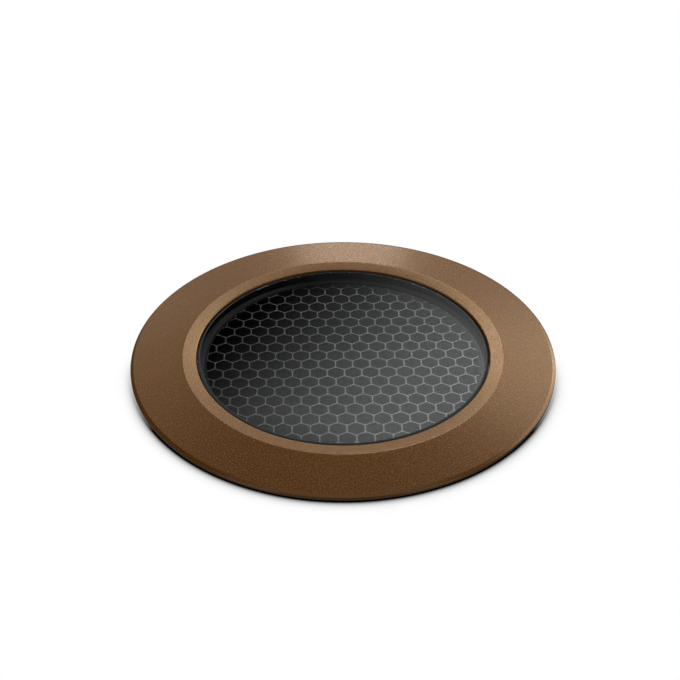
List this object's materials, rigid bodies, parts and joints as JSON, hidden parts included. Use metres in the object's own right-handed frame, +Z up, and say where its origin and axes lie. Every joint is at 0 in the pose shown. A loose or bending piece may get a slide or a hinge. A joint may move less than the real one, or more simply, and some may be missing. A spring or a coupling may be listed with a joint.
{
  "type": "recessed light",
  "caption": "Round in-ground uplight: bronze conical trim ring, flush stepped glass, honeycomb louver and a tilting lamp in a buried housing with a bottom cable gland.",
  "frame": {"origin": "centre of the flange's underside, at ground level", "axes": "+Z up, out of the ground along the light's axis; +X along the lamp's tilt axis at rest"},
  "size_m": [0.12, 0.12, 0.1099],
  "materials": {
    "bronze_coat": "fine textured bronze powder coat",
    "black_casting": "black powder coat on cast aluminium",
    "black_silicone": "matt silicone",
    "slip_film": "carbon-filled PTFE",
    "grey_louver_frame": "matt dark grey",
    "black_honeycomb": "matt black foil with bare cut edges",
    "clear_glass": "clear tempered glass",
    "clear_optic": "clear",
    "spring_steel": "oiled spring steel",
    "grey_casting": "tumbled casting",
    "bare_aluminium": "as machined",
    "black_bezel": "black anodised",
    "white_board": "white solder mask",
    "yellow_emitter": "phosphor",
    "bright_reflector": "metallised",
    "steel_screws": "stainless",
    "brass_standoffs": "machined",
    "green_board": "green solder mask",
    "ferrite_core": "sintered ferrite",
    "capacitor_can": "sleeved can",
    "green_terminal": "moulded",
    "white_socket": "moulded nylon",
    "grey_lead": "silicone sheath",
    "black_gland": "moulded nylon"
  },
  "bodies": {
    "housing": {"housing": "black_casting", "seat_gasket": "black_silicone", "louver_frame": "grey_louver_frame", "honeycomb_louver": "black_honeycomb", "swivel_circlip": "spring_steel", "lamp_lead": "grey_lead", "lead_socket": "white_socket", "driver_board": "green_board", "driver_standoffs": "brass_standoffs", "driver_board_screws": "steel_screws", "transformer": "ferrite_core", "capacitors": "capacitor_can", "choke": "ferrite_core", "terminal_block": "green_terminal", "base_gasket": "black_silicone", "base_cover": "black_casting", "base_screws": "steel_screws", "gland_body": "black_gland", "gland_o_ring": "black_silicone", "gland_locknut": "black_gland", "gland_seal": "black_silicone", "gland_cap_nut": "black_gland"},
    "lens_pack": {"lens": "clear_glass", "slip_washer": "slip_film"},
    "trim": {"trim_ring": "bronze_coat", "snap_ring": "spring_steel"},
    "swivel": {"swivel_ring": "grey_casting"},
    "lamp": {"heat_sink": "bare_aluminium", "led_board": "white_board", "led_emitter": "yellow_emitter", "led_board_screws": "steel_screws", "reflector": "bright_reflector", "lamp_optic": "clear_optic", "lamp_bezel": "black_bezel", "bezel_screws": "steel_screws", "pivot_screws": "steel_screws", "friction_washers": "slip_film"}
  },
  "joints": [
    {"name": "lens_rise", "type": "slide", "parent": "housing", "child": "lens_pack", "axis": [0, 0, 1], "range_m": [0, 0.006]},
    {"name": "trim_turn", "type": "hinge", "parent": "lens_pack", "child": "trim", "pos_m": [0, 0, 0], "axis": [0, 0, 1], "range_deg": [0, 1440]},
    {"name": "lamp_pan", "type": "hinge", "parent": "housing", "child": "swivel", "pos_m": [0, 0, -0.0434], "axis": [0, 0, 1], "range_deg": [-170, 170]},
    {"name": "lamp_tilt", "type": "hinge", "parent": "swivel", "child": "lamp", "pos_m": [0, 0, -0.0434], "axis": [1, 0, 0], "range_deg": [-15, 15], "deforming": ["lamp_lead"]}
  ],
  "couplings": [
    {"joint": "lens_rise", "follows": "trim_turn", "m_per_rad": 0.0002387}
  ]
}
